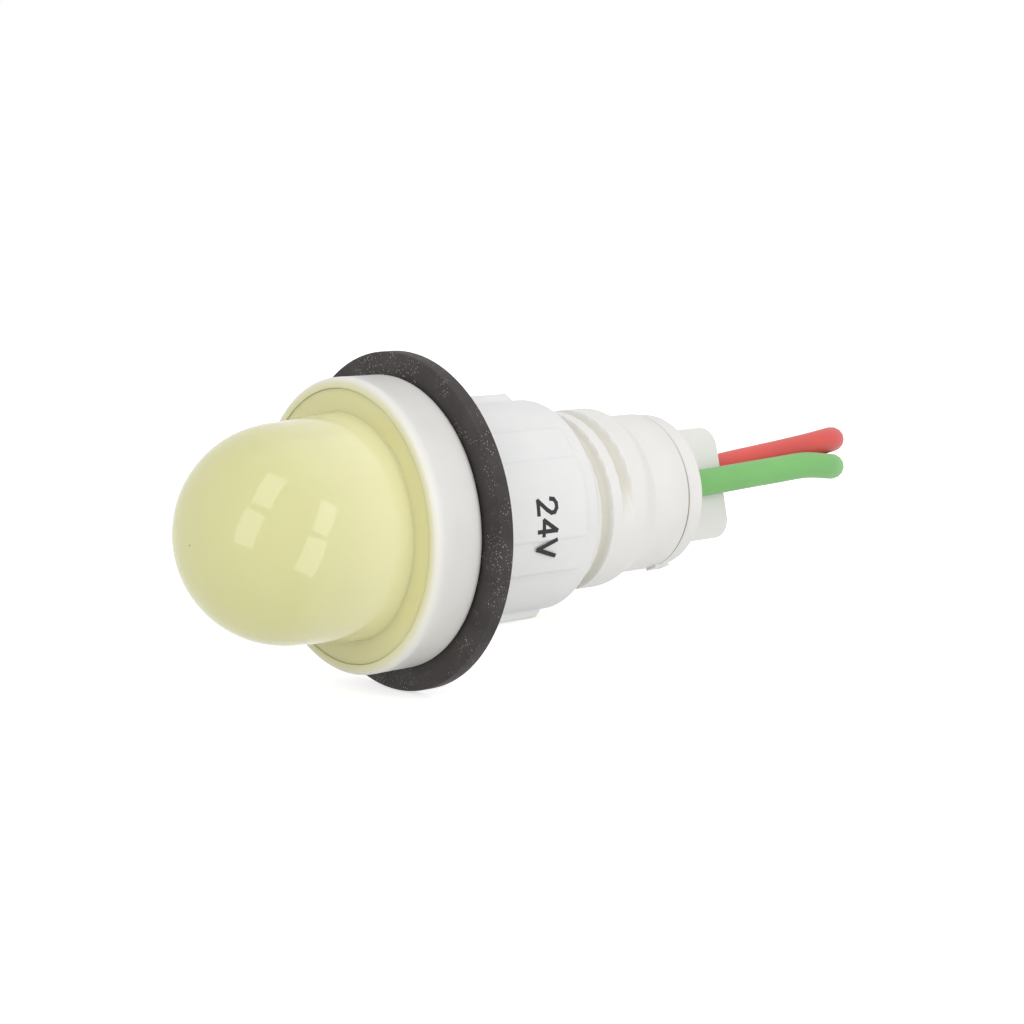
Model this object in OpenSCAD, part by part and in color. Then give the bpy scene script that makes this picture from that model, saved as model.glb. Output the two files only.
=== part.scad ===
// Panel pilot light: a moulded housing with a domed lens, screwed into a round panel hole.
// The lamp's axis is Y. The lens faces -Y, +Z is up, and the origin is on the axis at the
// panel seat, which is the rear face of the gasket.

/* [Lens] */
// Radius of the dome's round front
dome_r = 11.05; // [9:0.05:11.3]
// Radius of the dome's foot, where its drafted skirt meets the flange
dome_foot_r = 11.55; // [11.4:0.05:12.2]
// Height of the dome's skirt, from the flange to the start of the round front
dome_skirt_h = 7.5; // [5:0.1:11]
// Wall of the dome
lens_wall = 1.5; // [1:0.1:2]
// Thickness of the lens flange
lens_flange_t = 1.4; // [1:0.1:1.8]

/* [Bezel] */
// Diameter of the bezel at its rear edge
bezel_d = 30; // [29:0.1:33]
// Draft of the bezel's wall, as the radius lost from the rear edge to the front
bezel_draft = 0.4; // [0.1:0.05:0.6]
// Depth of the bezel from the gasket to its front lip
bezel_depth = 7.1; // [6.6:0.1:10]
// Depth of the lens flange below the front lip
lip_recess = 1.3; // [0.8:0.1:1.5]
// Radius of the recess that takes the lens flange
recess_r = 13.5; // [13.2:0.05:13.7]
// Radius of the rounded rear edge of the bezel
bezel_rear_round = 0.9; // [0.5:0.05:1]
// Thickness of the floor between the lens cup and the gasket
cup_floor_t = 1.2; // [1:0.1:1.6]

/* [Gasket] */
// Outside diameter of the gasket
gasket_d = 34.8; // [32:0.1:40]
// Thickness of the gasket
gasket_t = 1.6; // [1:0.1:2.5]
// Diameter of the gasket's hole, which is loose on the housing
gasket_hole_d = 20.6; // [20.5:0.1:22]

/* [Barrel] */
// Diameter of the hole that the lamp is made for
panel_hole_d = 20; // [20:0.05:20.4]
// Length of the plain neck that centres the lamp in the panel
neck_len = 1; // [0.8:0.1:1.6]
// Outside diameter of the thread
thread_d = 19.4; // [19.2:0.05:19.6]
// Pitch of the thread
thread_pitch = 3; // [2.8:0.05:3.2]
// Depth of the thread groove
thread_depth = 0.9; // [0.5:0.05:0.95]
// Length of the threaded barrel, from the neck to the shoulder
thread_len = 23.2; // [22:0.1:26]
// Distance from the shoulder to the middle of the last thread groove
thread_runout = 1.64; // [1.4:0.02:2]
// Length of the rounded shoulder behind the thread
shoulder_len = 2.6; // [1.5:0.1:3]
// Diameter of the plain barrel behind the shoulder
barrel_d = 17; // [16.6:0.1:17.4]
// Length of the plain barrel behind the shoulder
barrel_len = 5.6; // [4.5:0.1:9]
// Diameter of the bore through the barrel
bore_d = 14.8; // [14.6:0.1:15]

/* [Panel nut] */
// Gap for the panel between the gasket and the nut
panel_gap = 3; // [2:0.1:4]
// Diameter of the nut's round body
nut_d = 22.4; // [22:0.1:24]
// Length of the nut
nut_len = 14.2; // [13:0.1:15]
// Height of the grip ribs
rib_h = 1; // [0.5:0.1:1.3]
// Number of grip ribs
rib_count = 6; // [3:1:6]
// Width of a rib across its flat top
rib_top_w = 8.3; // [5:0.1:8.4]
// Width of a rib across its foot
rib_foot_w = 8.8; // [8.5:0.1:10]
// Plain land on the nut behind the ribs
nut_land = 2.8; // [1.5:0.1:4]
// Chamfer at the nut's rear edge
nut_chamfer = 0.8; // [0.3:0.05:1]

/* [Rear cap] */
// Thickness of the cap's disc
cap_t = 2.1; // [1.5:0.1:3]
// Length of the plug that holds the cap in the bore
plug_len = 5; // [3:0.1:7]
// Length of the grip fin behind the disc
fin_len = 10.4; // [8:0.1:12]
// Width of the grip fin across the axis
fin_w = 12.6; // [10:0.1:14]
// Thickness of the grip fin
fin_t = 1.4; // [1:0.1:1.6]
// Radius of the fin's corners
fin_corner_r = 2.3; // [1:0.1:3]
// Width of the key that holds the cap's angle in a notch in the barrel
key_w = 1.6; // [1:0.1:2]
// Length of the key
key_len = 1; // [0.8:0.1:2]
// Height that the key stands out of the barrel
key_h = 0.35; // [0.1:0.05:0.4]

/* [Leads] */
// Diameter of each lead over its insulation
lead_d = 3; // [2.6:0.05:3.05]
// Diameter of the stranded core of a lead
core_d = 1.4; // [1:0.1:1.6]
// Length of bare tinned core at the free end of a lead
bare_len = 6; // [4:0.5:8]

/* [Circuit board] */
// Thickness of the circuit board
board_t = 1.6; // [1:0.1:1.8]
// Diameter of each light-emitting diode
led_d = 5; // [4:0.5:5]
// Height of each light-emitting diode above the board
led_h = 8.6; // [6:0.1:9]
// Radius of the circle that the four light-emitting diodes stand on
led_circle_r = 5.8; // [5.7:0.05:6]
// Diameter of a component leg
leg_d = 0.5; // [0.4:0.05:0.6]
// Diameter of a resistor's body
resistor_d = 2.4; // [1.8:0.1:2.5]
// Length of a resistor's body
resistor_len = 6.3; // [5:0.1:9]
// Diameter of the protection diode's body
diode_d = 2; // [1.8:0.1:2.2]
// Length of the protection diode's body
diode_len = 4.2; // [3.8:0.1:6]

/* [Hidden] */
$fn = 96;
overshoot = 1;          // how far a cut runs past the face that it opens
fit_gap = 0.05;         // radial clearance of pieces that fit into each other
running_gap = 0.05;     // radial clearance of the nut over the thread

// stations along the axis, from the front to the rear
gasket_front = -gasket_t;
bezel_front = gasket_front - bezel_depth;
flange_front = bezel_front + lip_recess;
ledge = flange_front + lens_flange_t;
cup_floor = gasket_front - cup_floor_t;
board_front = cup_floor - board_t;
neck_end = neck_len;
nut_front = panel_gap;
thread_end = neck_end + thread_len;
shoulder_end = thread_end + shoulder_len;
barrel_end = shoulder_end + barrel_len;
cap_end = barrel_end + cap_t;
dome_centre = flange_front - dome_skirt_h;

// radii
bezel_r = bezel_d / 2;
bezel_front_r = bezel_r - bezel_draft;
lip_round = 0.35;
register_r = panel_hole_d / 2 + 0.15;
gasket_drop = gasket_hole_d / 2 - register_r - fit_gap;     // the loose gasket hangs by this much
neck_r = panel_hole_d / 2 - 0.1;
thread_r = thread_d / 2;
barrel_r = barrel_d / 2;
bore_r = bore_d / 2;
cup_r = recess_r - 1.1;
board_r = cup_r - 0.3;
cap_r = barrel_r - 0.1;
plug_r = bore_r - fit_gap;
plug_wall = 1.2;

// thread: round-bottomed grooves, one to each turn
groove_r = 1.05;
groove_ring_r = thread_r + groove_r - thread_depth;
groove_last = thread_end - thread_runout;
groove_front_land = 1.4;                // plain crest left in front of the first groove
groove_count = floor((groove_last - neck_end - groove_front_land) / thread_pitch) + 1;
shoulder_round = 1;
shoulder_arc = 55;

// the fin and the leads stand at this angle round the axis, from +X towards +Z
fin_angle = 103;
rib_angle = 12;
key_angle = 293;
lead_offset = fin_t / 2 + lead_d / 2 + 0.1;
lead_r = lead_d / 2;
core_r = core_d / 2;
leg_r = leg_d / 2;
leg_hole_r = leg_r + 0.1;
core_hole_r = core_r + 0.1;

// parts on the rear of the board stand on end round the two leads
stand_off = 0.8;        // gap between the board and a standing component
part_gap = 0.25;        // least gap between a component's body and its own leg or a lead
resistor_bend_r = (resistor_d / 2 + leg_r + part_gap) / 2 + 0.25;
diode_bend_r = (diode_d / 2 + leg_r + part_gap) / 2;
resistor_place = 4.2;
diode_place = 5.8;
led_leg_gap = 2.54;
leg_stub = 0.9;         // leg or core left standing past the board after soldering
solder_h = 0.7;
solder_r = 0.7;

// the leads lie on a surface that touches the gasket's lowest point
surface_z = -17.5;
coil_centre = [-38, 26];
coil_outer_r = 17.3;    // centre line of a coil's outer turn
coil_turns = 2;
coil_inner_r = coil_outer_r - (coil_turns - 1) * lead_d;
bare_end_turn = 35;     // the bare end leaves the coil inwards, leaning along its winding

// centre lines of the leads, from the cap to the coil
green_route = [
    [2.24, 34.5, 0.52], [2.24, 40.5, 0.52], [2.2, 46.5, 0.75], [2.15, 52, 0.95], [2.1, 57, 1.1],
    [0.8, 62.5, 0.4], [-3.1, 66.5, -0.3], [-8.5, 68, -0.9], [-13.8, 66.5, -2.1],
    [-17.7, 62.5, -3.2], [-19.1, 57, -4.6], [-19.3, 51, -6.7], [-19.4, 45, -9],
    [-19.6, 40, -11], [-20, 35.5, -12.9], [-20.4, 30.5, -14.9], [-20.7, 26, -16]
];
red_route = [
    [-2.24, 34.5, -0.52], [-2.24, 35.5, -0.52], [-2.3, 41, 0.1], [-2.6, 47, 1.15],
    [-2.75, 54, 1.75], [-2.8, 61, 2.3], [-3.6, 67, 2.75], [-7.4, 71.2, 2.1],
    [-12.6, 72.6, 0.8], [-17.7, 71.2, -0.7], [-21.5, 67.3, -2.2], [-22.9, 62, -3.5],
    [-22.9, 56, -4.6], [-22.9, 50, -5.8], [-22.7, 44, -7.4], [-22.3, 38, -9.3],
    [-21.5, 32, -11.5], [-20.7, 26, -13]
];

// ---- helpers ----

// turns a shape that stands on +Z to lie along the lamp's axis, with its +X still outwards
module along_axis() {
    rotate([-90, 0, 0]) children();
}

// turns a shape round the lamp's axis, from +X towards +Z
module around(angle) {
    rotate([0, -angle, 0]) children();
}

// revolves a profile of [radius, station] points round the lamp's axis
module revolved(profile) {
    along_axis() rotate_extrude() polygon(profile);
}

// points of an arc in a profile, about a centre, from one angle to another
function arc(centre, r, from, to, steps = 6) =
    [for (i = [0:steps]) centre + r * [cos(from + (to - from) * i / steps),
                                       sin(from + (to - from) * i / steps)]];

// a round bar along the axis, at a place across it, between two stations
module bar(place, r, from, to) {
    translate([place[0], from, place[1]]) along_axis() cylinder(r = r, h = to - from);
}

// places the fin's own frame across the axis: first its normal, then its width
function across(offset, width) =
    [offset * sin(fin_angle) + width * cos(fin_angle),
     -offset * cos(fin_angle) + width * sin(fin_angle)];

function unit(v) = v / norm(v);
function heading(p, i) = unit(p[min(i + 1, len(p) - 1)] - p[max(i - 1, 0)]);
function tube_ring(p, i, r, sides) =
    let (t = heading(p, i), side = unit(cross(t, [0, 0, 1])), up = cross(side, t))
    [for (k = [0:sides - 1]) p[i] + r * (cos(360 * k / sides) * side + sin(360 * k / sides) * up)];

// faces of a closed skin over rings of points, each ring of the same count
function skin_faces(rings, sides) = concat(
    [[for (k = [sides - 1:-1:0]) k]],
    [[for (k = [0:sides - 1]) (rings - 1) * sides + k]],
    [for (i = [0:rings - 2], k = [0:sides - 1])
        let (a = i * sides + k, b = i * sides + (k + 1) % sides) [a, b, b + sides]],
    [for (i = [0:rings - 2], k = [0:sides - 1])
        let (a = i * sides + k, b = i * sides + (k + 1) % sides) [a, b + sides, a + sides]]
);

// a round tube swept along a list of points
module tube(p, r, sides = 8) {
    polyhedron(
        points = [for (i = [0:len(p) - 1]) each tube_ring(p, i, r, sides)],
        faces = skin_faces(len(p), sides)
    );
}

// ---- lens, bezel and barrel ----

module lens() {
    inner_r = dome_r - lens_wall;
    foot_inner_r = dome_foot_r - lens_wall;
    skirt_r = cup_r - fit_gap;
    flange_r = recess_r - fit_gap;
    color([0.86, 0.86, 0.6]) revolved(concat(
        arc([0, dome_centre], dome_r, -90, 0, 16),
        [
            [dome_foot_r, flange_front],
            [flange_r, flange_front],
            [flange_r, ledge],
            [skirt_r, ledge],
            [skirt_r, board_front],
            [skirt_r - lens_wall, board_front],
            [skirt_r - lens_wall, ledge],
            [foot_inner_r, ledge]
        ],
        arc([0, dome_centre], inner_r, 0, -90, 16)
    ));
}

// one turn's groove in the thread, as a solid to cut from the barrel
module groove(i) {
    translate([0, groove_last - i * thread_pitch, 0]) along_axis()
        rotate_extrude() translate([groove_ring_r, 0]) circle(r = groove_r, $fn = 32);
}

// the space of the cap's key, grown by a gap for the notch that takes it
module key(from_r, to_r, gap, past) {
    around(key_angle)
        translate([from_r, barrel_end - key_len - gap, -key_w / 2 - gap])
        cube([to_r - from_r, key_len + gap + past, key_w + 2 * gap]);
}

module housing() {
    color([0.93, 0.93, 0.92]) difference() {
        revolved(concat(
            [[recess_r, ledge], [recess_r, flange_front]],
            arc([bezel_front_r - lip_round * 1.6, bezel_front + lip_round], lip_round, 180, 270, 4),
            arc([bezel_front_r - lip_round, bezel_front + lip_round], lip_round, 270, 360, 4),
            arc([bezel_r - bezel_rear_round, gasket_front - bezel_rear_round],
                bezel_rear_round, 0, 90, 5),
            [
                [register_r, gasket_front],
                [register_r, 0],
                [neck_r, 0],
                [neck_r, neck_end],
                [thread_r, neck_end]
            ],
            arc([thread_r - shoulder_round, thread_end], shoulder_round, 0, shoulder_arc, 4),
            [[barrel_r, shoulder_end], [barrel_r, barrel_end], [bore_r, barrel_end],
             [bore_r, cup_floor], [cup_r, cup_floor], [cup_r, ledge]]
        ));
        for (i = [0:groove_count - 1]) groove(i);
        key(bore_r - overshoot, barrel_r + overshoot, fit_gap, overshoot);
    }
}

module gasket() {
    color([0.2, 0.19, 0.19]) translate([0, 0, -gasket_drop]) revolved([
        [gasket_hole_d / 2, gasket_front], [gasket_d / 2, gasket_front],
        [gasket_d / 2, 0], [gasket_hole_d / 2, 0]
    ]);
}

// the wedge that bounds a grip rib, seen along the nut: its flanks lean in from foot to top
module rib_wedge(foot_r, top_r) {
    foot_angle = asin(rib_foot_w / 2 / foot_r);
    top_angle = asin(rib_top_w / 2 / top_r);
    foot = foot_r * [cos(foot_angle), sin(foot_angle)];
    top = top_r * [cos(top_angle), sin(top_angle)];
    inner = foot - 0.4 * (top - foot);
    outer = top + 0.4 * (top - foot);
    polygon([[0, 0], [inner[0], -inner[1]], [outer[0], -outer[1]], outer, inner]);
}

module panel_nut() {
    body_r = nut_d / 2;
    top_r = body_r + rib_h;
    nut_end = nut_front + nut_len;
    rib_end = nut_end - nut_land;
    rib_chamfer = 0.4;
    color([0.95, 0.95, 0.95]) difference() {
        intersection() {
            translate([0, nut_front, 0]) along_axis() linear_extrude(nut_len) union() {
                circle(r = body_r);
                for (i = [0:rib_count - 1]) rotate(-rib_angle - i * 360 / rib_count)
                    intersection() { circle(r = top_r); rib_wedge(body_r, top_r); }
            }
            revolved([
                [0, nut_front - overshoot], [top_r + overshoot, nut_front - overshoot],
                [top_r + overshoot, rib_end - rib_chamfer - overshoot],
                [top_r - rib_chamfer, rib_end], [body_r, rib_end],
                [body_r, nut_end - nut_chamfer], [body_r - nut_chamfer, nut_end], [0, nut_end]
            ]);
        }
        bar([0, 0], thread_r + running_gap, nut_front - overshoot, nut_end + overshoot);
    }
}

module rear_cap() {
    rim_round = 0.4;
    fin_end = cap_end + fin_len;
    color([0.93, 0.93, 0.92]) difference() {
        union() {
            revolved(concat(
                [[0, barrel_end], [cap_r, barrel_end]],
                arc([cap_r - rim_round, cap_end - rim_round], rim_round, 0, 90, 4),
                [[0, cap_end]]
            ));
            revolved([
                [plug_r - plug_wall, barrel_end - plug_len], [plug_r, barrel_end - plug_len],
                [plug_r, barrel_end + 0.5], [plug_r - plug_wall, barrel_end + 0.5]
            ]);
            // the fin is a flat plate across the axis with rounded rear corners
            around(fin_angle) translate([0, cap_end - 0.5, -fin_t / 2]) linear_extrude(fin_t) union() {
                translate([-fin_w / 2, 0]) square([fin_w, fin_len + 0.5 - fin_corner_r]);
                translate([fin_corner_r - fin_w / 2, 0]) square([fin_w - 2 * fin_corner_r, fin_len + 0.5]);
                for (side = [-1, 1])
                    translate([side * (fin_w / 2 - fin_corner_r), fin_len + 0.5 - fin_corner_r])
                    circle(r = fin_corner_r);
            }
            key(plug_r - plug_wall / 2, barrel_r + key_h, 0, cap_t / 2);
        }
        for (side = [-1, 1])
            bar(across(side * lead_offset, 0), lead_r + fit_gap,
                barrel_end - overshoot, cap_end + overshoot);
    }
}

// ---- circuit board and what stands on it ----

// places of the two legs of each light-emitting diode, across the axis
function led_leg_place(i, side) =
    let (a = fin_angle + 45 + 90 * i, r = led_circle_r)
    [r * cos(a) - side * led_leg_gap / 2 * sin(a), r * sin(a) + side * led_leg_gap / 2 * cos(a)];

// a standing component: [offset, width] of its body, then of its returning leg
resistor_1_at = [0, resistor_place];
resistor_2_at = [0, -resistor_place];
diode_at = [diode_place, -diode_bend_r];
// each standing component: [place of its body, place of its returning leg, length of its body]
standing = [
    [resistor_1_at, resistor_1_at + [0, 2 * resistor_bend_r], resistor_len],
    [resistor_2_at, resistor_2_at - [0, 2 * resistor_bend_r], resistor_len],
    [diode_at, diode_at + [0, 2 * diode_bend_r], diode_len]
];
core_places = [across(lead_offset, 0), across(-lead_offset, 0)];
component_leg_places = [
    for (c = standing, p = [c[0], c[1]]) across(p[0], p[1])
];
led_leg_places = [for (i = [0:3], side = [-1, 1]) led_leg_place(i, side)];

module circuit_board() {
    color([0.16, 0.42, 0.24]) difference() {
        bar([0, 0], board_r, board_front, cup_floor);
        for (p = concat(component_leg_places, led_leg_places))
            bar(p, leg_hole_r, board_front - overshoot, cup_floor + overshoot, $fn = 24);
        for (p = core_places)
            bar(p, core_hole_r, board_front - overshoot, cup_floor + overshoot, $fn = 24);
    }
}

module led(i) {
    r = led_d / 2;
    rim_r = r + 0.4;
    rim_t = 1;
    a = fin_angle + 45 + 90 * i;
    color([0.93, 0.85, 0.4])
    translate([led_circle_r * cos(a), 0, led_circle_r * sin(a)])
    revolved(concat(
        arc([0, board_front - led_h + r], r, -90, 0, 8),
        [[r, board_front - rim_t], [rim_r, board_front - rim_t], [rim_r, board_front], [0, board_front]]
    ));
}

module led_1() { led(0); }
module led_2() { led(1); }
module led_3() { led(2); }
module led_4() { led(3); }

module led_legs() {
    color("silver") for (p = led_leg_places)
        bar(p, leg_r, board_front, cup_floor + leg_stub, $fn = 24);
}

// a standing component's moulded body
module component_body(at, d, len) {
    round_r = 0.4;
    base = cup_floor + stand_off;
    place = across(at[0], at[1]);
    translate([place[0], 0, place[1]]) revolved(concat(
        [[0, base], [d / 2 - round_r, base]],
        arc([d / 2 - round_r, base + round_r], round_r, -90, 0, 3),
        arc([d / 2 - round_r, base + len - round_r], round_r, 0, 90, 3),
        [[0, base + len]]
    ));
}

module resistor_1() { color([0.55, 0.7, 0.8]) component_body(resistor_1_at, resistor_d, resistor_len); }
module resistor_2() { color([0.55, 0.7, 0.8]) component_body(resistor_2_at, resistor_d, resistor_len); }
module protection_diode() { color([0.12, 0.12, 0.12]) component_body(diode_at, diode_d, diode_len); }

// the straight lower leg, and the upper leg that loops over and comes back to the board
module standing_legs(at, back, len) {
    base = cup_floor + stand_off;
    top = base + len + 0.6;
    bend_r = norm(back - at) / 2;
    place = across((at[0] + back[0]) / 2, (at[1] + back[1]) / 2);
    bar(across(at[0], at[1]), leg_r, board_front - leg_stub, base, $fn = 24);
    bar(across(at[0], at[1]), leg_r, base + len, top, $fn = 24);
    bar(across(back[0], back[1]), leg_r, board_front - leg_stub, top, $fn = 24);
    // the bend is drawn a little thinner than the straight wire
    translate([place[0], top, place[1]]) around(fin_angle)
        rotate_extrude(angle = 180) translate([bend_r, 0]) circle(r = leg_r - 0.02, $fn = 24);
}

module component_legs() {
    color("silver") for (c = standing) standing_legs(c[0], c[1], c[2]);
}

// a ring of solder round a leg, standing off the board towards one side
module solder(place, hole_r, from, height) {
    translate([place[0], 0, place[1]]) revolved([
        [hole_r + 0.01, from], [hole_r + solder_r - leg_r, from],
        [hole_r + 0.15, from + height], [hole_r + 0.01, from + height]
    ]);
}

module solder_joints() {
    color([0.75, 0.76, 0.78]) {
        for (p = led_leg_places) solder(p, leg_r, cup_floor, solder_h, $fn = 24);
        for (p = component_leg_places) solder(p, leg_r, board_front, -solder_h, $fn = 24);
        for (p = core_places) solder(p, core_r, board_front, -solder_h, $fn = 24);
    }
}

// ---- leads ----

strip_end = cup_floor + 1.5;    // where the insulation starts inside the housing

module inner_lead(side) {
    bar(across(side * lead_offset, 0), lead_r, strip_end, cap_end);
}

module green_lead_inner() { color([0.15, 0.55, 0.2]) inner_lead(1); }
module red_lead_inner() { color([0.8, 0.15, 0.15]) inner_lead(-1); }

module inner_cores() {
    color([0.8, 0.55, 0.35]) for (p = core_places)
        bar(p, core_r, board_front - leg_stub, strip_end, $fn = 32);
}

module green_lead() { color([0.15, 0.55, 0.2]) tube(green_route, lead_r); }
module red_lead() { color([0.8, 0.15, 0.15]) tube(red_route, lead_r); }

// the outer shape of a lead's coil, lying flat on the surface or on the coil below it
module coil(layer) {
    translate([coil_centre[0], coil_centre[1], surface_z + layer * lead_d])
    rotate_extrude()
    translate([coil_inner_r - lead_r, 0])
    square([coil_turns * lead_d, lead_d]);
}

// the tinned end of the core, standing in from the coil's inner side
module bare_end(layer, angle) {
    translate([coil_centre[0], coil_centre[1], surface_z + (layer + 0.5) * lead_d])
    rotate([0, 0, angle]) translate([coil_inner_r - lead_r + 0.6, 0, 0])
    rotate([0, 0, bare_end_turn]) rotate([0, -90, 0]) cylinder(r = core_r, h = bare_len, $fn = 32);
}

module green_coil() { color([0.15, 0.55, 0.2]) coil(0); }
module red_coil() { color([0.8, 0.15, 0.15]) coil(1); }
module green_bare_end() { color("silver") bare_end(0, -30); }
module red_bare_end() { color("silver") bare_end(1, -60); }

lens();
housing();
gasket();
panel_nut();
rear_cap();
circuit_board();
led_1();
led_2();
led_3();
led_4();
led_legs();
resistor_1();
resistor_2();
protection_diode();
component_legs();
solder_joints();
green_lead_inner();
red_lead_inner();
inner_cores();
green_lead();
red_lead();
green_coil();
red_coil();
green_bare_end();
red_bare_end();
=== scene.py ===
import math

import bpy
from mathutils import Matrix, Vector


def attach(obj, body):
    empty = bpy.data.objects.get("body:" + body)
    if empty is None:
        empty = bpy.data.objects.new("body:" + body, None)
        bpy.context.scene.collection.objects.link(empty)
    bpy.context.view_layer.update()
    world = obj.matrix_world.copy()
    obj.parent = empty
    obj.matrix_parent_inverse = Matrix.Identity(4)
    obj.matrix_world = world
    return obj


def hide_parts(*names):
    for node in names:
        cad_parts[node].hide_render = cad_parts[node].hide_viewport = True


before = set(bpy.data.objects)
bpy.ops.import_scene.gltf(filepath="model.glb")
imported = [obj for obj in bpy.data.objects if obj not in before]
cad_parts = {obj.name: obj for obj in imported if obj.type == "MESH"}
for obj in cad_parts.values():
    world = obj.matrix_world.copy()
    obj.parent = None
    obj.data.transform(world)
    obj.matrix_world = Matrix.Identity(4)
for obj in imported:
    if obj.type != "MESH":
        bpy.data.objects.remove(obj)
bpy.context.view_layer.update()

MM = 0.001

# ---------------------------------------------------------------- camera

CAMERA_AT = (0.20093, -0.15436, 0.03816)
CAMERA_TURN_DEG = (81.6, 0.0, 49.98)
CAMERA_LENS_MM = 87.9

camera_data = bpy.data.cameras.new("camera")
camera_data.lens = CAMERA_LENS_MM
camera_data.sensor_width = 36.0
camera_data.clip_end = 20.0
camera = bpy.data.objects.new("camera", camera_data)
camera.location = CAMERA_AT
camera.rotation_euler = [math.radians(a) for a in CAMERA_TURN_DEG]
bpy.context.scene.collection.objects.link(camera)
bpy.context.scene.camera = camera

# ---------------------------------------------------------------- sizes, in millimetres

# The lamp's axis is Y. s is the station along it and phi the angle round it, from +X towards +Z.
# The panel's front is at station 0. These are the stations from the front to the rear:
BEZEL_FRONT = -7.75
FLANGE_FRONT = -7.68
LEDGE = -6.0                # in the bezel's recess, where the lens flange sits
SKIRT_END = -4.4
CUP_FLOOR = -2.8
GASKET_FRONT = -1.6
NECK_END = 1.0
NUT_FRONT = 3.0
NUT_END = 17.4
SHOULDER_END = 27.4
BARREL_END = 32.4
CAP_END = 34.5

BEZEL_R = 15.05
RECESS_R = 13.95
CUP_R = 12.4
COLLAR_R = 10.15            # inside the gasket
NECK_R = 9.9
THREAD_R = 9.7
BARREL_R = 8.6
BORE_R = 7.4
LEAD_D = 3.0
FLOOR_Z = -17.5

# ---------------------------------------------------------------- mesh helpers


def add_object(name, data):
    obj = bpy.data.objects.new(name, data)
    bpy.context.scene.collection.objects.link(obj)
    return obj


def add_mesh(name, points_mm, faces, smooth=True, sharp_deg=35.0):
    """A mesh object from points in millimetres. Edges sharper than sharp_deg stay crisp."""
    mesh = bpy.data.meshes.new(name)
    mesh.from_pydata([tuple(c * MM for c in p) for p in points_mm], [], faces)
    mesh.validate()
    mesh.update()
    if smooth:
        mesh.shade_smooth()
        mesh.set_sharp_from_angle(angle=math.radians(sharp_deg))
    return add_object(name, mesh)


def ring_point(r, s, phi_deg):
    """The point at radius r, station s and angle phi."""
    a = math.radians(phi_deg)
    return (r * math.cos(a), s, r * math.sin(a))


def grid_faces(rows, columns, close_rows=False):
    """Quads over rows of points that run round the axis, each row a closed ring."""
    faces = []
    for j in range(rows if close_rows else rows - 1):
        k = (j + 1) % rows
        for i in range(columns):
            n = (i + 1) % columns
            faces.append((j * columns + i, j * columns + n, k * columns + n, k * columns + i))
    return faces


def lathe(name, profile, radius=None, columns=192, closed=True, sharp_deg=35.0):
    """Turns a profile of (r, s) round the axis.

    radius(r, s, phi), if given, says the radius that a point of the profile has at phi.
    """
    points = []
    for r, s in profile:
        for i in range(columns):
            phi = 360.0 * i / columns
            rr = radius(r, s, phi) if radius else r
            points.append(ring_point(rr, s, phi))
    faces = grid_faces(len(profile), columns, closed)
    return add_mesh(name, points, faces, sharp_deg=sharp_deg)


def arc(r0, s0, radius, start, end, steps):
    """Points (r, s) of an arc in a profile, from start to end in degrees."""
    out = []
    for i in range(steps + 1):
        a = math.radians(start + (end - start) * i / steps)
        out.append((r0 + radius * math.cos(a), s0 + radius * math.sin(a)))
    return out


def line(a, b, step):
    """Points (r, s) from a towards b, without b."""
    n = max(1, round(math.dist(a, b) / step))
    return [(a[0] + (b[0] - a[0]) * i / n, a[1] + (b[1] - a[1]) * i / n) for i in range(n)]


def smoothstep(low, high, x):
    """0 up to low, 1 from high on, and a smooth rise between them."""
    t = min(1.0, max(0.0, (x - low) / (high - low)))
    return t * t * (3.0 - 2.0 * t)


def soft_min(a, b, k):
    """The smaller of a and b, blended over a width of k."""
    h = max(0.0, min(1.0, 0.5 + 0.5 * (b - a) / k))
    return b * (1 - h) + a * h - k * h * (1 - h)


def soft_max(a, b, k):
    return -soft_min(-a, -b, k)


# ---------------------------------------------------------------- leads

# each lead's way from the rear cap, behind the lamp and down to its coil
GREEN_ROUTE = [
    (2.24, CAP_END, 0.52), (2.24, 40.5, 0.52), (2.2, 46.5, 0.75), (2.15, 52, 0.95),
    (2.1, 57, 1.1), (0.8, 62.5, 0.4), (-3.1, 66.5, -0.3), (-8.5, 68, -0.9),
    (-13.8, 66.5, -2.1), (-17.7, 62.5, -3.2), (-19.1, 57, -4.6), (-19.3, 51, -6.7),
    (-19.4, 45, -9), (-19.6, 40, -11), (-20, 35.5, -12.9), (-20.4, 30.5, -14.9),
    (-20.7, 26, -16),
]
RED_ROUTE = [
    (-2.24, CAP_END, -0.52), (-2.24, 35.5, -0.52), (-2.3, 41, 0.1), (-2.6, 47, 1.15),
    (-2.75, 54, 1.75), (-2.8, 61, 2.3), (-3.6, 67, 2.75), (-7.4, 71.2, 2.1),
    (-12.6, 72.6, 0.8), (-17.7, 71.2, -0.7), (-21.5, 67.3, -2.2), (-22.9, 62, -3.5),
    (-22.9, 56, -4.6), (-22.9, 50, -5.8), (-22.7, 44, -7.4), (-22.3, 38, -9.3),
    (-21.5, 32, -11.5), (-20.7, 26, -13),
]
COIL_CENTRE = (-38.0, 26.0)
COIL_OUTER_R = 17.3
COIL_TURNS = 2
COIL_TURN_POINTS = 20
COIL_STEP = LEAD_D * 1.04
COIL_STEPS_IN = ((260.0, 350.0), (620.0, 710.0))     # degrees wound, where it moves inwards
CORE_R = 0.7
CORE_RINGS = CORE_COLUMNS = 14
CORE_BEND = 0.04            # sideways, times the square of the length along it
CORE_END = 0.8              # of the radius, at the core's cut end
STRANDS = 7
STRAND_RELIEF = 0.06        # of the radius
STRAND_TWIST = 0.9          # radians per millimetre
BARE_LEN = 6.0


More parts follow.
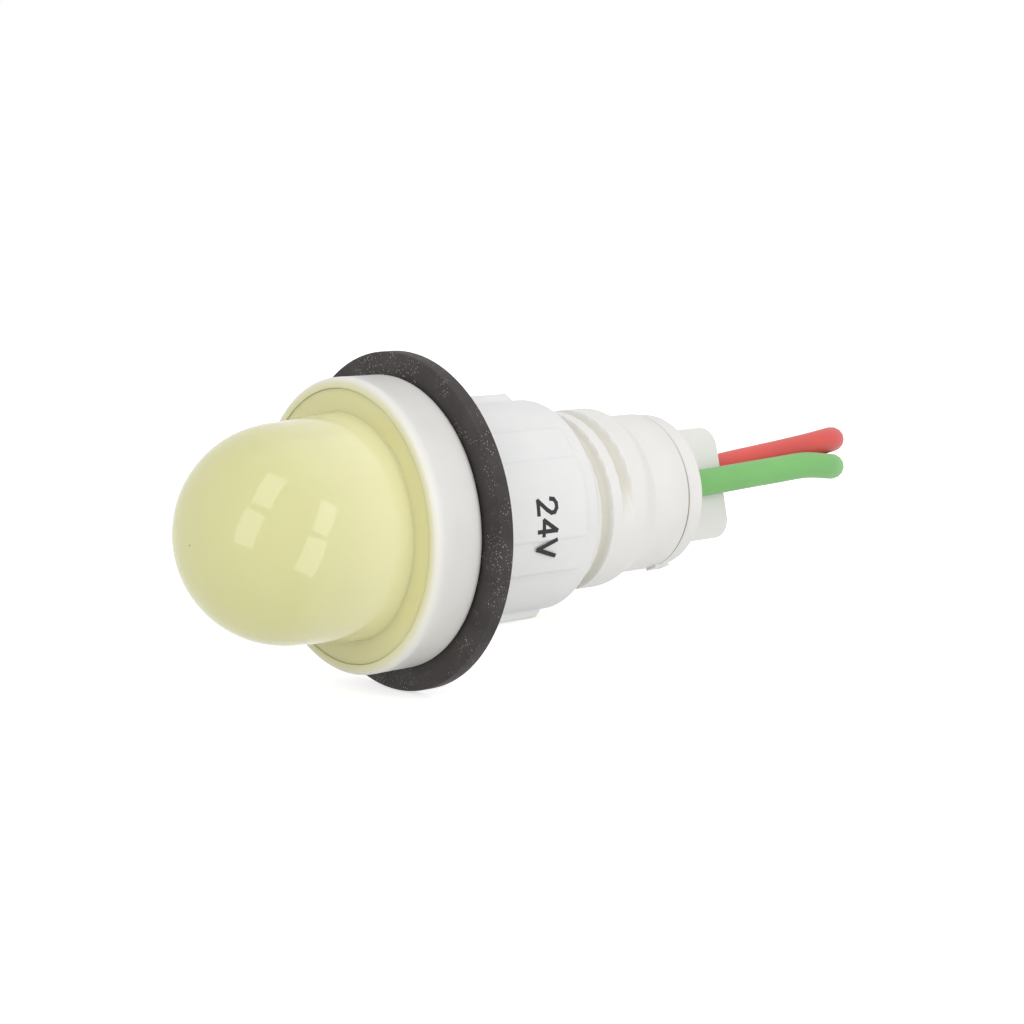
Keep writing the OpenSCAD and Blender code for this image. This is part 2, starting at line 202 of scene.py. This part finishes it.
def coil_points(z, end_angle):
    """A flat coil, wound clockwise and inwards from its outer turn, ending at end_angle."""
    total = 360.0 * COIL_TURNS - end_angle
    count = round(COIL_TURN_POINTS * total / 360.0)
    out = []
    for i in range(1, count + 1):
        angle = total * i / count
        inward = COIL_STEP * sum(smoothstep(a, b, angle) for a, b in COIL_STEPS_IN)
        r = COIL_OUTER_R - inward
        a = math.radians(-angle)
        out.append((COIL_CENTRE[0] + r * math.cos(a), COIL_CENTRE[1] + r * math.sin(a), z))
    return out


def lead_curve(name, points, flat_from):
    """The insulation, a round tube through the points. From knot flat_from on it lies level."""
    curve = bpy.data.curves.new(name, "CURVE")
    curve.dimensions = "3D"
    curve.bevel_depth = 1.0     # times each knot's radius
    curve.bevel_resolution = 5
    curve.use_fill_caps = True
    curve.resolution_u = 6
    spline = curve.splines.new("BEZIER")
    spline.bezier_points.add(len(points) - 1)
    for i, (knot, p) in enumerate(zip(spline.bezier_points, points)):
        here = Vector(p)
        before = Vector(points[max(i - 1, 0)])
        after = Vector(points[min(i + 1, len(points) - 1)])
        along = after - before
        if i == 0:
            along = Vector((0, 1, 0))
        if i >= flat_from:
            along.z = 0.0
        along.normalize()
        knot.handle_left_type = knot.handle_right_type = "FREE"
        knot.co = here * MM
        knot.handle_left = (here - along * (here - before).length / 3) * MM
        knot.handle_right = (here + along * (after - here).length / 3) * MM
        knot.radius = LEAD_D / 2 * MM
    return add_object(name, curve)


def bare_tip(name, points):
    """The tinned strands beyond the end of the insulation, bent a little inwards."""
    tip, before = Vector(points[-1]), Vector(points[-2])
    up = Vector((0, 0, 1))
    heading = (tip - before).normalized()
    side = heading.cross(up)
    inwards = Vector((COIL_CENTRE[0], COIL_CENTRE[1], tip.z)) - tip
    if side.dot(inwards) < 0:
        side = -side
    core = []
    for j in range(CORE_RINGS):
        along = BARE_LEN * j / (CORE_RINGS - 1)
        centre = tip + heading * along + side * CORE_BEND * along * along
        taper = CORE_END if j == CORE_RINGS - 1 else 1.0
        for i in range(CORE_COLUMNS):
            a = 2 * math.pi * i / CORE_COLUMNS
            lay = 1.0 + STRAND_RELIEF * math.cos(STRANDS * (a + along * STRAND_TWIST))
            rr = CORE_R * taper * lay
            core.append(tuple(centre + side * rr * math.cos(a) + up * rr * math.sin(a)))
    faces = grid_faces(CORE_RINGS, CORE_COLUMNS)
    faces.append(tuple(range(CORE_COLUMNS))[::-1])
    faces.append(tuple((CORE_RINGS - 1) * CORE_COLUMNS + i for i in range(CORE_COLUMNS)))
    return add_mesh(name, core, faces, sharp_deg=60)


def make_lead(name, route, coil_z, end_angle, cad_nodes):
    """One lead from the rear cap to its bare end: its curve, its tinned tip and its points."""
    points = route + coil_points(coil_z, end_angle)
    lead = lead_curve(name, points, len(route) - 1)
    bpy.context.view_layer.update()
    bare = bare_tip(name + "_tip", points)
    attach(lead, "lamp")
    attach(bare, "lamp")
    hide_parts(*cad_nodes[:2])
    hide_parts(cad_nodes[2])
    return lead, bare, points


leads = {}
for colour, route, coil_z, end_angle in (
    ("green", GREEN_ROUTE, FLOOR_Z + LEAD_D / 2, -30.0),
    ("red", RED_ROUTE, FLOOR_Z + LEAD_D * 1.5, -60.0),
):
    lead, bare, points = make_lead(
        colour + "_wire", route, coil_z, end_angle,
        (colour + "_lead", colour + "_coil", colour + "_bare_end"),
    )
    leads[colour] = lead, bare

# ---------------------------------------------------------------- materials

SKIN_DEPTH_MM = 0.05        # of the fine bumps


def grey(v):
    return (v, v, v)


def tinted(colour, factor):
    return tuple(min(1.0, c * factor) for c in colour)


class Shader:
    """Small helper that builds one principled material with procedural variation."""

    def __init__(self, name, **values):
        self.material = bpy.data.materials.new(name)
        self.material.use_nodes = True
        self.tree = self.material.node_tree
        self.shader = self.tree.nodes["Principled BSDF"]
        for key, value in values.items():
            self.shader.inputs[key.replace("_", " ")].default_value = value
        self.coords = self.tree.nodes.new("ShaderNodeTexCoord").outputs["Object"]

    def node(self, kind, **inputs):
        """A node with its inputs linked, or set to plain values."""
        made = self.tree.nodes.new("ShaderNode" + kind)
        for key, value in inputs.items():
            socket = made.inputs[key.replace("_", " ")]
            if isinstance(value, bpy.types.NodeSocket):
                self.tree.links.new(value, socket)
            else:
                socket.default_value = value
        return made

    def noise(self, scale, detail=3.0, roughness=0.5):
        return self.node(
            "TexNoise", Vector=self.coords, Scale=scale, Detail=detail, Roughness=roughness
        ).outputs["Fac"]

    def ramp(self, fac, stops):
        made = self.node("ValToRGB", Fac=fac)
        elements = made.color_ramp.elements
        while len(elements) < len(stops):
            elements.new(0.5)
        for element, (position, colour) in zip(elements, stops):
            element.position = position
            element.color = (*colour, 1.0)
        return made.outputs["Color"]

    def span(self, fac, low, high):
        """From low to high as fac goes from 0 to 1."""
        return self.node("MapRange", Value=fac, To_Min=low, To_Max=high).outputs["Result"]

    def fade(self, place, from_mm, to_mm, low, high):
        """From low to high as the place goes from from_mm to to_mm."""
        return self.node(
            "MapRange", Value=place, From_Min=from_mm * MM, From_Max=to_mm * MM,
            To_Min=low, To_Max=high,
        ).outputs["Result"]

    def product(self, a, b):
        made = self.node("Math")
        made.operation = "MULTIPLY"
        self.tree.links.new(a, made.inputs[0])
        self.tree.links.new(b, made.inputs[1])
        return made.outputs["Value"]

    def mix(self, factor, below, colour):
        """The plain colour laid over what is below, as far as the factor says."""
        made = self.node("Mix")
        made.data_type = "RGBA"
        self.tree.links.new(factor, made.inputs["Factor"])
        self.tree.links.new(below, made.inputs[6])
        made.inputs[7].default_value = (*colour, 1.0)
        return made.outputs[2]

    def uneven(self, colour, variation):
        """The colour with soft patches that are a little darker and lighter."""
        return self.ramp(self.noise(120.0, 4.0), [
            (0.3, tinted(colour, 1.0 - variation)), (0.7, tinted(colour, 1.0 + variation)),
        ])

    def use(self, socket, output):
        self.tree.links.new(output, self.shader.inputs[socket])

    def bump(self, height, strength, distance_mm=SKIN_DEPTH_MM):
        made = self.node("Bump", Height=height, Strength=strength, Distance=distance_mm * MM)
        self.use("Normal", made.outputs["Normal"])

    def skin(self, smoothest, roughest, grain=900.0, bump=0.02):
        """Uneven gloss and a very fine skin, as moulded plastic has."""
        self.use("Roughness", self.span(self.noise(260.0), smoothest, roughest))
        self.bump(self.noise(grain, 2.0), bump)


def plastic(name, colour, roughness, variation=0.03, grain=900.0, bump=0.02, **values):
    """A moulded plastic: slightly uneven colour and gloss, and a very fine skin."""
    made = Shader(name, **values)
    made.use("Base Color", made.uneven(colour, variation))
    made.skin(roughness * 0.85, roughness * 1.15, grain, bump)
    return made.material


HOUSING_WHITE = (0.80, 0.79, 0.76)
# painted shade, which darkens the thread's grooves
GROOVE_PAINTED_SHADE = (0.68, 0.65, 0.56)
# painted shade, which darkens the joint in front of the cap
JOINT_PAINTED_SHADE = (0.16, 0.13, 0.09)
NUT_WHITE = (0.80, 0.80, 0.795)
LENS_YELLOW = (0.65, 0.64, 0.32)
LENS_PALE = (0.79, 0.765, 0.46)
LENS_RING = (0.69, 0.665, 0.35)
LENS_CLOUD = (0.85, 0.83, 0.55)
RUBBER_DARK = (0.025, 0.020, 0.019)
RUBBER_LIGHT = (0.044, 0.037, 0.036)
DUST = (0.34, 0.32, 0.29)
GREEN = (0.19, 0.49, 0.145)
RED = (0.72, 0.085, 0.075)


def thread_material():
    """The housing's plastic, tinted in three places.

    It has painted shade, brownish, in the thread's grooves; it is yellowish at the bezel's front
    edge, where the lens shines through it; and it has painted shade, dark and more so below, in the
    joint in front of the cap.
    """
    made = Shader("housing_thread_plastic")
    place = made.node("SeparateXYZ", Vector=made.coords).outputs
    across = made.node("CombineXYZ", X=place["X"], Z=place["Z"])
    length = made.node("VectorMath", Vector=across.outputs["Vector"])
    length.operation = "LENGTH"
    radius, station, height = length.outputs["Value"], place["Y"], place["Z"]
    # painted shade in the thread's grooves
    groove_painted_shade = made.product(
        made.fade(radius, 8.85, 9.6, 1.0, 0.0), made.fade(station, 23.7, 24.1, 1.0, 0.0)
    )
    at_front = made.product(
        made.fade(radius, RECESS_R, 15.1, 1.0, 0.12), made.fade(station, -7.8, -6.8, 1.0, 0.0)
    )
    # painted shade in the joint in front of the cap, darker towards the bottom
    joint_painted_shade = made.product(
        made.fade(station, 32.0, 32.08, 0.0, 1.0), made.fade(height, 8.0, -3.0, 0.3, 1.0)
    )
    colour = made.uneven(HOUSING_WHITE, 0.03)
    colour = made.mix(groove_painted_shade, colour, GROOVE_PAINTED_SHADE)
    colour = made.mix(at_front, colour, LENS_RING)
    made.use("Base Color", made.mix(joint_painted_shade, colour, JOINT_PAINTED_SHADE))
    made.skin(0.32, 0.44)
    return made.material


def lens_plastic():
    """Milky yellow, and paler near the flange, where the white housing behind it shines through."""
    made = Shader(
        "lens_plastic", IOR=1.5, Subsurface_Weight=0.6, Subsurface_Radius=(1.0, 1.0, 0.6),
        Subsurface_Scale=0.0015,
    )
    station = made.node("SeparateXYZ", Vector=made.coords).outputs["Y"]
    tone = made.ramp(made.fade(station, -26.0, -6.0, 0.0, 1.0), [
        (0.3, LENS_YELLOW), (0.8, LENS_PALE), (0.903, LENS_PALE), (0.912, LENS_RING),
    ])
    cloudy = made.span(made.noise(90.0), 0.0, 0.08)
    made.use("Base Color", made.mix(cloudy, tone, LENS_CLOUD))
    made.use("Roughness", made.span(made.noise(200.0), 0.02, 0.035))
    made.bump(made.noise(700.0, 2.0), 0.015, 0.03)
    return made.material


def gasket_rubber():
    """Black rubber with specks of dust, which lie in patches."""
    made = Shader("gasket_rubber")
    specks = made.node("TexVoronoi", Vector=made.coords, Scale=3600.0)
    speck = made.ramp(specks.outputs["Distance"], [(0.14, grey(1.0)), (0.26, grey(0.0))])
    patch = made.ramp(made.noise(380.0, 4.0), [(0.46, grey(0.0)), (0.58, grey(1.0))])
    rubber = made.ramp(made.noise(300.0, 4.0), [(0.3, RUBBER_DARK), (0.7, RUBBER_LIGHT)])
    made.use("Base Color", made.mix(made.product(speck, patch), rubber, DUST))
    made.use("Roughness", made.span(made.noise(500.0), 0.55, 0.8))
    made.bump(made.noise(900.0, 4.0), 0.25)
    return made.material


housing_material = plastic("housing_plastic", HOUSING_WHITE, 0.38)
nut_material = plastic("nut_plastic", NUT_WHITE, 0.42)
green_material = plastic("green_pvc", GREEN, 0.45, variation=0.08, grain=1500.0, bump=0.05)
red_material = plastic("red_pvc", RED, 0.45, variation=0.08, grain=1500.0, bump=0.05)
ink_material = plastic("ink", (0.02, 0.02, 0.02), 0.6, variation=0.4, grain=4000.0)
led_material = plastic("led_resin", (0.85, 0.7, 0.25), 0.25)
board_material = plastic("board_laminate", (0.03, 0.16, 0.06), 0.35, variation=0.1)
resistor_material = plastic("resistor_coat", (0.3, 0.48, 0.62), 0.4, variation=0.05)
diode_material = plastic("diode_epoxy", (0.02, 0.02, 0.022), 0.5, variation=0.2)
tin_material = plastic("tinned_wire", (0.62, 0.63, 0.64), 0.35, variation=0.08, Metallic=1.0)
solder_material = plastic("solder", (0.66, 0.67, 0.69), 0.28, variation=0.05, Metallic=1.0)

for colour, material in (("green", green_material), ("red", red_material)):
    lead, bare = leads[colour]
    lead.data.materials.append(material)
    bare.data.materials.append(tin_material)


def finish_piece(obj, body, slot, material, *nodes):
    """Gives a piece its material, its body and the CAD nodes that it replaces. Its slot argument is
    not used.
    """
    obj.data.materials.append(material)
    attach(obj, body)
    if nodes:
        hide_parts(*nodes)
    return obj


# ---------------------------------------------------------------- lens

DOME_R = 11.05
DOME_CENTRE = -14.9
DOME_FOOT_R = 11.55
DOME_TIP = -89.6            # degrees, just short of the axis
LENS_WALL = 1.5
FOOT_ROUND = 0.15
FLANGE_R = RECESS_R - 0.02
SKIRT_R = CUP_R - 0.05

lens_profile = arc(0.0, DOME_CENTRE, DOME_R, DOME_TIP, 0.0, 48)
lens_profile += line((DOME_R, DOME_CENTRE), (DOME_FOOT_R, FLANGE_FRONT - FOOT_ROUND), 0.6)[1:]
lens_profile += arc(DOME_FOOT_R + FOOT_ROUND, FLANGE_FRONT - FOOT_ROUND, FOOT_ROUND, 180, 90, 4)
lens_profile += line(
    (DOME_FOOT_R + 0.2, FLANGE_FRONT), (FLANGE_R - 0.04, FLANGE_FRONT + 0.02), 0.4
)[1:]
lens_profile += [(FLANGE_R, FLANGE_FRONT + 0.06), (FLANGE_R, LEDGE)]
lens_profile += [(SKIRT_R, LEDGE), (SKIRT_R, SKIRT_END)]
lens_profile += [(SKIRT_R - LENS_WALL, SKIRT_END), (SKIRT_R - LENS_WALL, LEDGE)]
lens_profile += [(DOME_FOOT_R - LENS_WALL, LEDGE)]
lens_profile += arc(0.0, DOME_CENTRE, DOME_R - LENS_WALL, 0.0, DOME_TIP, 32)
lens = lathe("dome_lens", lens_profile, closed=False)
finish_piece(lens, "lamp", "lens_plastic", lens_plastic(), "lens")

# ---------------------------------------------------------------- housing

THREAD_PITCH = 3.0
GROOVE_HALF = 0.82          # half its width
GROOVE_DEPTH = 0.8
GROOVE_FIRST = 3.0          # station where the first groove has its full depth
GROOVE_LEAD_IN = 0.8
GROOVE_AT_ZERO = 19.3       # station of a groove at phi 0
GROOVE_FULL = 0.94          # in turns, where the last groove starts to run out
GROOVE_GONE = 1.03
SHOULDER_MIDDLE = 24.5      # mean station of the shoulder's start, which runs on a slant
SHOULDER_SLANT = 0.75
SHOULDER_TURN = 11.0        # degrees


def shoulder_start(phi):
    return SHOULDER_MIDDLE + SHOULDER_SLANT * math.sin(math.radians(phi - SHOULDER_TURN))


def barrel_radius(r, s, phi):
    """The threaded barrel: a crest with a right-handed groove that runs out at the shoulder."""
    if s <= NECK_END or s >= SHOULDER_END:
        return r
    start = shoulder_start(phi)
    if s > start:
        t = (s - start) / (SHOULDER_END - start)
        outside = BARREL_R + (THREAD_R - BARREL_R) * (1.0 - t * t) ** 2
    else:
        outside = THREAD_R
    signed = phi - 360.0 if phi > 180.0 else phi
    turn = round((s - GROOVE_AT_ZERO + THREAD_PITCH * signed / 360.0) / THREAD_PITCH)
    centre = GROOVE_AT_ZERO + THREAD_PITCH * (turn - signed / 360.0)
    along = turn - signed / 360.0
    away = abs(s - centre) / GROOVE_HALF
    if away >= 1.0:
        return outside
    fade = 1.0 - smoothstep(GROOVE_FULL, GROOVE_GONE, along)
    fade *= smoothstep(GROOVE_FIRST - GROOVE_LEAD_IN, GROOVE_FIRST, s)
    floor = THREAD_R - GROOVE_DEPTH * fade * (1.0 - away ** 4)
    return min(outside, floor)


RIM_ROUND = 0.12
BEZEL_ROUND = 0.6
BEZEL_SIDE = [(BEZEL_R, -6.6), (15.03, -6.55), (15.03, -5.25), (15.01, -5.2), (15.0, -2.9)]
BEZEL_REAR_R = 15.0
BEZEL_REAR_ROUND = 0.9
FINE_FROM = 17.0            # from here on the rings are dense, for the thread that shows
JOINT_FRONT = 32.27
JOINT_DEEP = 0.7

housing_profile = [(CUP_R, CUP_FLOOR), (CUP_R, LEDGE)]
housing_profile += [(RECESS_R, LEDGE), (RECESS_R, FLANGE_FRONT)]
housing_profile += arc(RECESS_R + RIM_ROUND, BEZEL_FRONT + RIM_ROUND, RIM_ROUND, 185, 270, 4)
housing_profile += arc(
    BEZEL_R - BEZEL_ROUND, BEZEL_FRONT + BEZEL_ROUND, BEZEL_ROUND, 275, 355, 8
)
housing_profile += BEZEL_SIDE
housing_profile += arc(
    BEZEL_REAR_R - BEZEL_REAR_ROUND, GASKET_FRONT - BEZEL_REAR_ROUND, BEZEL_REAR_ROUND, -4, 86, 8
)
housing_profile += [(13.9, GASKET_FRONT), (COLLAR_R, GASKET_FRONT), (COLLAR_R, 0.0)]
housing_profile += [(NECK_R, 0.0), (NECK_R, 0.5), (NECK_R, NECK_END)]
housing_profile += [(THREAD_R, NECK_END + 0.05)]
housing_profile += line((THREAD_R, NECK_END + 0.3), (THREAD_R, FINE_FROM), 0.3)
housing_profile += line((THREAD_R, FINE_FROM), (THREAD_R, SHOULDER_END), 0.1)
housing_profile += [(BARREL_R, SHOULDER_END), (BARREL_R, 29.5), (BARREL_R, 32.15)]
# the joint in front of the cap is a narrow open line
housing_profile += [(BARREL_R - 0.04, 32.24), (BARREL_R - 0.1, JOINT_FRONT)]
housing_profile += [(BARREL_R - JOINT_DEEP, JOINT_FRONT), (BARREL_R - JOINT_DEEP, BARREL_END)]
housing_profile += [(BORE_R, BARREL_END), (BORE_R, CUP_FLOOR)]
housing = lathe("housing_moulding", housing_profile, barrel_radius, columns=288, sharp_deg=42)
finish_piece(housing, "lamp", "white_plastic", thread_material(), "housing")

# ---------------------------------------------------------------- gasket

GASKET_R = 17.4
GASKET_HOLE_R = 10.3
GASKET_ROUND = 0.12
GASKET_DROP = 0.1           # it hangs a little on the collar and stands on the floor

gasket_edge_r = GASKET_R - GASKET_ROUND
gasket_profile = [(GASKET_HOLE_R, GASKET_FRONT), (GASKET_R - 0.2, GASKET_FRONT)]
gasket_profile += arc(gasket_edge_r, GASKET_FRONT + GASKET_ROUND, GASKET_ROUND, -90, 0, 3)
gasket_profile += arc(gasket_edge_r, -GASKET_ROUND, GASKET_ROUND, 0, 90, 3)
gasket_profile += [(GASKET_HOLE_R, 0.0)]
gasket = lathe("flat_gasket", gasket_profile, columns=160)
for vertex in gasket.data.vertices:
    vertex.co.z -= GASKET_DROP * MM
finish_piece(gasket, "lamp", "gasket_rubber", gasket_rubber(), "gasket")

# ---------------------------------------------------------------- panel nut

NUT_R = 11.2
NUT_BORE_R = 9.75
NUT_CHAMFER = 0.85
NUT_CHAMFER_SLOPE = 1.05
NUT_FRONT_EDGE = 0.15
RIB_R = 12.0
RIB_ANGLE = 12.0            # degrees, as the next four
RIB_SPACING = 120.0
RIB_TOP_HALF = 37.5
RIB_FOOT_HALF = 39.5
PAD_HALF = 19.9
PAD_HEIGHT = 0.2            # of the raised field on each rib, which carries the marking
PAD_END = 14.35
RIB_END = 14.3
RIB_END_SLOPE = 1.25


def nut_radius(r, s, phi):
    """The nut: a round body with three broad ribs, each with a raised field."""
    if r < NUT_R - 1.0:
        return r
    away = abs((phi - RIB_ANGLE + RIB_SPACING / 2) % RIB_SPACING - RIB_SPACING / 2)
    rib = NUT_R + (RIB_R - NUT_R) * (1.0 - smoothstep(RIB_TOP_HALF, RIB_FOOT_HALF, away))
    rib_limit = RIB_R + (RIB_END - s) * RIB_END_SLOPE
    pad = PAD_HEIGHT * (1.0 - smoothstep(PAD_HALF - 0.5, PAD_HALF + 0.5, away))
    pad *= 1.0 - smoothstep(PAD_END - 0.12, PAD_END + 0.12, s)
    section = soft_max(soft_min(rib, rib_limit, 0.2) + pad, NUT_R, 0.08)
    chamfer = NUT_R - NUT_CHAMFER - NUT_CHAMFER_SLOPE * (s - NUT_END)
    return soft_min(section, chamfer, 0.25) - (NUT_FRONT_EDGE if s <= NUT_FRONT + 0.01 else 0.0)


NUT_FINE_FROM = 13.4        # from here on the rings are dense, for the ends of the ribs

nut_profile = [(NUT_R, NUT_FRONT), (NUT_R, NUT_FRONT + NUT_FRONT_EDGE)]
nut_profile += line((NUT_R, NUT_FRONT + 0.6), (NUT_R, NUT_FINE_FROM), 1.6)
nut_profile += line((NUT_R, NUT_FINE_FROM), (NUT_R, NUT_END), 0.1) + [(NUT_R, NUT_END)]
nut_profile += [(10.1, NUT_END), (NUT_BORE_R + 0.1, NUT_END - 0.05), (NUT_BORE_R, NUT_END - 0.3)]
nut_profile += [(NUT_BORE_R, NUT_FRONT)]
nut = lathe("ribbed_nut", nut_profile, nut_radius, columns=600, sharp_deg=50)
finish_piece(nut, "nut", "nut_plastic", nut_material, "panel_nut")

# ---------------------------------------------------------------- marking on the nut

MARK_FRONT = 7.62
MARK_TOP_PHI = 12.4
MARK_HEIGHT = 0.8           # share of the glyphs' drawn height
MARK_R = RIB_R + PAD_HEIGHT + 0.015
STROKE = 0.45
STROKE_STEPS = 5
STROKE_END = 0.6            # each stroke is longer at both ends by this share of half its width
# each glyph in its own box: x runs down the rib, y from the front of the nut to its rear
GLYPHS = (
    (0.0, [(0.02, 2.2), (0.1, 2.75), (0.5, 3.1), (1.0, 3.1), (1.4, 2.75), (1.45, 2.2),
           (1.1, 1.5), (0.1, 0.1), (1.55, 0.1)]),
    (2.15, [(1.15, 0.05), (1.15, 3.1), (0.0, 0.95), (1.6, 0.95)]),
    (4.3, [(0.0, 3.15), (0.85, 0.1), (1.7, 3.15)]),
)


def marking():
    """The supply voltage, in strokes that lie on the raised field."""
    points, faces = [], []
    for offset, corners in GLYPHS:
        for (x0, y0), (x1, y1) in zip(corners, corners[1:]):
            a = Vector((x0 + offset, y0 * MARK_HEIGHT))
            b = Vector((x1 + offset, y1 * MARK_HEIGHT))
            along = (b - a).normalized() * STROKE / 2
            across = Vector((-along.y, along.x))
            a, b = a - along * STROKE_END, b + along * STROKE_END
            base = len(points)
            for i in range(STROKE_STEPS + 1):
                centre = a.lerp(b, i / STROKE_STEPS)
                for side in (-1, 1):
                    p = centre + across * side
                    phi = MARK_TOP_PHI - math.degrees(p.x / MARK_R)
                    points.append(ring_point(MARK_R, MARK_FRONT + p.y, phi))
            for k in range(base, base + 2 * STROKE_STEPS, 2):
                faces.append((k, k + 1, k + 3, k + 2))
    return add_mesh("voltage_marking", points, faces, smooth=False)


finish_piece(marking(), "nut", "marking_ink", ink_material)

# ---------------------------------------------------------------- CAD pieces that stay

KEPT = {
    "rear_cap": housing_material,
    "circuit_board": board_material,
    "led_1": led_material, "led_2": led_material, "led_3": led_material, "led_4": led_material,
    "led_legs": tin_material, "component_legs": tin_material, "inner_cores": tin_material,
    "resistor_1": resistor_material, "resistor_2": resistor_material,
    "protection_diode": diode_material, "solder_joints": solder_material,
    "green_lead_inner": green_material, "red_lead_inner": red_material,
}
for name, material in KEPT.items():
    for material_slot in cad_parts[name].material_slots:
        material_slot.material = material

# ---------------------------------------------------------------- stage

FLOOR_REACH = 3.0
FLOOR_GAP = 0.0001          # metres under the part, against flicker
FLOOR_GREY = 0.95
FLOOR_GLOW = 0.62           # makes the floor white, for rays that see it directly
WORLD_LIGHT = 0.63
WHITE = (1.0, 1.0, 1.0, 1.0)

floor_mesh = bpy.data.meshes.new("floor")
floor_mesh.from_pydata(
    [(x * FLOOR_REACH, y * FLOOR_REACH, 0.0) for x, y in ((-1, -1), (1, -1), (1, 1), (-1, 1))],
    [], [(0, 1, 2, 3)],
)
floor = add_object("floor", floor_mesh)
floor.location.z = FLOOR_Z * MM - FLOOR_GAP
floor.visible_glossy = False    # so that the dome mirrors the whole of both windows


def seen_directly(tree):
    """1 for rays from the camera, a mirror or clear plastic, which see the white background."""
    rays = tree.nodes.new("ShaderNodeLightPath").outputs
    seen = rays["Is Camera Ray"]
    for kind in ("Is Glossy Ray", "Is Transmission Ray"):
        either = tree.nodes.new("ShaderNodeMath")
        either.operation = "MAXIMUM"
        tree.links.new(seen, either.inputs[0])
        tree.links.new(rays[kind], either.inputs[1])
        seen = either.outputs["Value"]
    return seen


floor_material = bpy.data.materials.new("floor")
floor_material.use_nodes = True
floor_tree = floor_material.node_tree
floor_shader = floor_tree.nodes["Principled BSDF"]
floor_shader.inputs["Base Color"].default_value = (*grey(FLOOR_GREY), 1.0)
floor_shader.inputs["Roughness"].default_value = 0.95
floor_shader.inputs["Specular IOR Level"].default_value = 0.1
floor_shader.inputs["Emission Color"].default_value = WHITE
floor_glow = floor_tree.nodes.new("ShaderNodeMath")
floor_glow.operation = "MULTIPLY"
floor_glow.inputs[1].default_value = FLOOR_GLOW
floor_tree.links.new(seen_directly(floor_tree), floor_glow.inputs[0])
floor_tree.links.new(floor_glow.outputs["Value"], floor_shader.inputs["Emission Strength"])
floor_mesh.materials.append(floor_material)

world = bpy.data.worlds.new("studio")
bpy.context.scene.world = world
world.use_nodes = True
world_tree = world.node_tree
background = world_tree.nodes["Background"]
background.inputs["Color"].default_value = WHITE
world_span = world_tree.nodes.new("ShaderNodeMapRange")
world_span.inputs["To Min"].default_value = WORLD_LIGHT
world_span.inputs["To Max"].default_value = 1.0
world_tree.links.new(seen_directly(world_tree), world_span.inputs["Value"])
world_tree.links.new(world_span.outputs["Result"], background.inputs["Strength"])

# ---------------------------------------------------------------- lights

# two windows of two panes each, which show as reflections in the dome:
# azimuth and elevation seen from the dome, width and height in metres, roll
WINDOW_AWAY = 0.9
WINDOW_RADIANCE = 2.0
WINDOWS = (
    ("left_window_top", -58.7, 52.6, 0.34, 0.545, 13.5),
    ("left_window_bottom", -72.6, 13.2, 0.36, 0.565, 16.0),
    ("right_window_top", 10.0, 20.5, 0.28, 0.51, 35.5),
    ("right_window_bottom", -7.8, -14.6, 0.357, 0.591, 22.0),
)
TOP_LIGHT_AT = (0.05, 0.1, 0.6)
TOP_LIGHT_SIZE = 0.6
TOP_LIGHT_POWER = 0.4
SIDE_LIGHT_AT = Vector((0.55, 0.0, 0.17))
SIDE_LIGHT_AIM = Vector((0.0, 0.01, 0.0))
SIDE_LIGHT_SIZE = (0.8, 0.4)
SIDE_LIGHT_POWER = 0.42


def area_light(name, width, height, power):
    data = bpy.data.lights.new(name, "AREA")
    data.shape = "RECTANGLE"
    data.size, data.size_y = width, height
    data.energy = power
    return add_object(name, data)


def window(name, azimuth, elevation, width, height, roll):
    """One pane, which faces the middle of the dome."""
    light = area_light(name, width, height, WINDOW_RADIANCE * math.pi * width * height)
    az, el, turn = math.radians(azimuth), math.radians(elevation), math.radians(roll)
    away = Vector((math.cos(el) * math.cos(az), math.cos(el) * math.sin(az), math.sin(el)))
    right = away.cross(Vector((0, 0, 1))).normalized()
    up = right.cross(away)
    tall = up * math.cos(turn) - right * math.sin(turn)
    wide = tall.cross(away)
    place = Vector((0, DOME_CENTRE * MM, 0)) + away * WINDOW_AWAY
    facing = Matrix((wide, tall, away)).transposed().to_4x4()
    light.matrix_world = Matrix.Translation(place) @ facing


for pane in WINDOWS:
    window(*pane)

top_light = area_light("top_light", TOP_LIGHT_SIZE, TOP_LIGHT_SIZE, TOP_LIGHT_POWER)
top_light.location = TOP_LIGHT_AT

# a broad light from the camera's right, which mirror rays don't see
side_light = area_light("side_light", *SIDE_LIGHT_SIZE, SIDE_LIGHT_POWER)
side_light.location = SIDE_LIGHT_AT
side_light.rotation_euler = (SIDE_LIGHT_AT - SIDE_LIGHT_AIM).to_track_quat("Z", "Y").to_euler()
side_light.visible_glossy = False

bpy.context.scene.view_settings.view_transform = "Standard"

bpy.context.view_layer.update()
